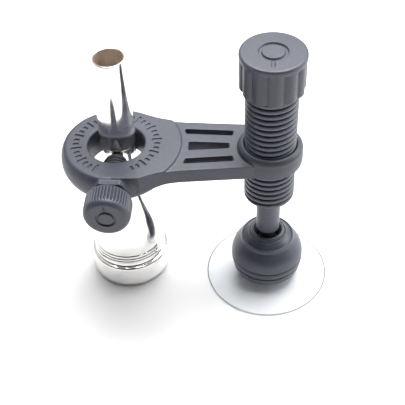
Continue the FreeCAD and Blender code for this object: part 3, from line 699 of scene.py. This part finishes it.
rt = math.sqrt(5.9 ** 2 - (14.2 - Z_BALL) ** 2)
base = [(0.0, Z_BASE, 0), (10.4, Z_BASE, 0.1)]
base += spline([(10.7, 4.33), (10.95, 4.5), (11.1, 4.85), (11.35, 6.0), (11.55, 7.0)], 4)
base += [(11.56, 7.2, 0.08), (11.3, 7.42, 0.05), (11.3, 7.72, 0.05)]
base += spline([(11.52, 7.85), (11.78, 8.3), (11.89, 9.0), (11.8, 9.7), (11.58, 10.15)], 4)
base += [(11.4, 10.27, 0.05), (9.0, 10.27, 0.05), (9.0, 14.2, 0.1), (rt, 14.2, 0.05)]
base += [(5.9 * math.sin(t), Z_BALL + 5.9 * math.cos(t), 0.0) for t in np.linspace(math.acos(1.7 / 5.9) + 0.03, math.pi - 0.04, 24)]
base += [(0.0, Z_BALL - 5.9, 0)]
sb = lathe("socket_ring_base", base, n=192, closed=False, r=0.06, x=D)
place(sb, "chin_pad", "dome_plastic", [M_DOME], ["socket_base"])

# ------------------------------------------------------------------ clear disc
disc = [(1.3, 3.0, 0.05)] + [(3.0, 3.0, 0), (5.0, 3.0, 0)]
disc += spline([(6.0, 3.0), (9.0, 3.13), (12.2, 2.75), (16.0, 1.35), (19.3, 0.12)], 8)
disc += spline([(19.75, 0.01), (20.15, 0.0), (20.38, 0.1), (20.45, 0.28), (20.36, 0.44), (20.12, 0.52)], 4)
disc += spline([(19.6, 0.72), (16.2, 2.35), (12.4, 3.75), (9.4, Z_BASE - 0.01)], 8)
disc += [(6.0, Z_BASE - 0.01, 0), (1.3, Z_BASE - 0.01, 0.05)]
cd = lathe("clear_disc", disc, n=256, r=0.05, x=D)
place(cd, "chin_pad", "clear_vinyl", [M_VINYL, M_SHADED_EDGE], ["chin_disc"])
for p in cd.data.polygons:      # the cut edge of the sheet is the part that shows as a line; it gets the vinyl darkened with painted shade
    if math.hypot(p.center.x - (D - DX) * 0.001, p.center.y - (0.0 - DY) * 0.001) > 0.02008:
        p.material_index = 1

# ------------------------------------------------------------------ spring between the seat and the plunger head
R_SPR, R_WIRE, TURNS = 4.35, 0.45, 10
Z_S0, Z_S1 = 46.15 + R_WIRE, 79.0 - R_WIRE
SEG, RING = TURNS * 48, 12
verts, faces = [], []
for k in range(SEG + 1):
    t = k / SEG
    a = TAU * TURNS * t
    c = np.array([D + R_SPR * math.cos(a), R_SPR * math.sin(a), Z_S0 + (Z_S1 - Z_S0) * t])
    tg = np.array([-R_SPR * math.sin(a), R_SPR * math.cos(a), (Z_S1 - Z_S0) / (TAU * TURNS)])
    tg /= np.linalg.norm(tg)
    u = np.array([math.cos(a), math.sin(a), 0.0])
    w = np.cross(tg, u)
    for j in range(RING):
        b = TAU * j / RING
        verts.append(row_frame(c + R_WIRE * (math.cos(b) * u + math.sin(b) * w)))
for k in range(SEG):
    for j in range(RING):
        j2 = (j + 1) % RING
        faces.append((k * RING + j, k * RING + j2, (k + 1) * RING + j2, (k + 1) * RING + j))
faces.append(tuple(range(RING)))
faces.append(tuple(SEG * RING + j for j in range(RING)))
spring = mesh_from("spring_coil", verts, faces)
spring.data.materials.append(M_SPRING)
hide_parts("plunger_spring")
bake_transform(spring)

# ------------------------------------------------------------------ nodes that stay as they are, in better materials
for node, mat in (("seat_pad", M_LINER), ("knob_screw", M_STEEL), ("barrel_bush", M_NYLON), ("bush_ring", M_STEEL), ("spring_seat", M_NYLON), ("plunger_head", M_NYLON),
                  ("head_screw", M_STEEL), ("ball_seat", M_NYLON), ("friction_ring", M_RUBBER), ("disc_washer", M_STEEL), ("disc_screw", M_STEEL)):
    o = NODES[node]
    if o.data.materials:
        for i in range(len(o.data.materials)):
            o.data.materials[i] = mat
    else:
        o.data.materials.append(mat)

# ------------------------------------------------------------------ floor, light, camera
w = bpy.data.worlds.new("studio")
bpy.context.scene.world = w
w.use_nodes = True
bg = w.node_tree.nodes["Background"]
wc = add(w.node_tree, "ShaderNodeTexCoord")
wx = add(w.node_tree, "ShaderNodeSeparateXYZ")
w.node_tree.links.new(wc.outputs["Generated"], wx.inputs[0])
# a white studio, dim on the side that the picture is taken from
w.node_tree.links.new(ramp(w.node_tree, spread(w.node_tree, wx.outputs["Y"], 0.0, 1.0, -1.0, 1.0),
                           [(0.10, (0.06, 0.06, 0.065)), (0.42, (0.26, 0.26, 0.27)), (0.60, (0.75, 0.75, 0.75)), (1.0, (0.85, 0.85, 0.85))]), bg.inputs["Color"])
bg.inputs["Strength"].default_value = 0.85

mf, nt, out = tree("studio_floor")
b = add(nt, "ShaderNodeBsdfPrincipled")
nt.links.new(b.outputs["BSDF"], out.inputs["Surface"])
tc = add(nt, "ShaderNodeTexCoord")
fl = noise(nt, tc.outputs["Object"], 14.0, 3.0, 0.5)
nt.links.new(ramp(nt, fl, [(0.3, (0.865, 0.865, 0.865)), (0.7, (0.88, 0.88, 0.878))]), b.inputs["Base Color"])
b.inputs["Roughness"].default_value = 0.9
b.inputs["Specular IOR Level"].default_value = 0.1
fm = bpy.data.meshes.new("floor")
G, S = 24, 1.6
fv, ff = [], []
for i in range(G + 1):
    for j in range(G + 1):
        x, y = -S + 2 * S * i / G, -S + 2 * S * j / G
        fv.append((x, y, -0.00005 + 0.10 * max(0.0, (math.hypot(x, y) - 1.0)) ** 2))
for i in range(G):
    for j in range(G):
        a = i * (G + 1) + j
        ff.append((a, a + G + 1, a + G + 2, a + 1))
fm.from_pydata(fv, [], ff)
fm.polygons.foreach_set("use_smooth", [True] * len(fm.polygons))
floor = link(fm, "floor")
fm.materials.append(mf)


def area(name, loc, target, size, watts, col=(1, 1, 1), size_y=None):
    l = bpy.data.lights.new(name, "AREA")
    l.shape = "RECTANGLE"
    l.size = size
    l.size_y = size_y or size
    l.energy = watts
    l.color = col
    o = bpy.data.objects.new(name, l)
    o.location = loc
    o.rotation_mode = "QUATERNION"
    o.rotation_quaternion = (Vector(target) - Vector(loc)).to_track_quat("-Z", "Y")
    bpy.context.scene.collection.objects.link(o)
    return o


area("overhead", (0.06, 0.18, 0.62), (0.0, 0.0, 0.04), 0.55, 7.8)
area("right", (0.55, 0.16, 0.30), (0.0, 0.0, 0.05), 0.40, 2.0)

cam = bpy.data.cameras.new("camera")
cam.type = "PERSP"
cam.sensor_fit = "HORIZONTAL"
cam.sensor_width = 36.0
cam.lens = 81.296
cam.clip_start, cam.clip_end = 0.01, 20.0
co = bpy.data.objects.new("camera", cam)
bpy.context.scene.collection.objects.link(co)
co.matrix_world = Matrix(((0.99769, -0.02535, 0.06310, 0.019508),
                          (0.06249, 0.70811, -0.70333, -0.205612),
                          (-0.02685, 0.70565, 0.70805, 0.242911),
                          (0.0, 0.0, 0.0, 1.0)))
bpy.context.scene.camera = co
vs = bpy.context.scene.view_settings
vs.view_transform = "Standard"
vs.look = "None"
vs.exposure = 0.08
vs.gamma = 1.0

bpy.context.view_layer.update()
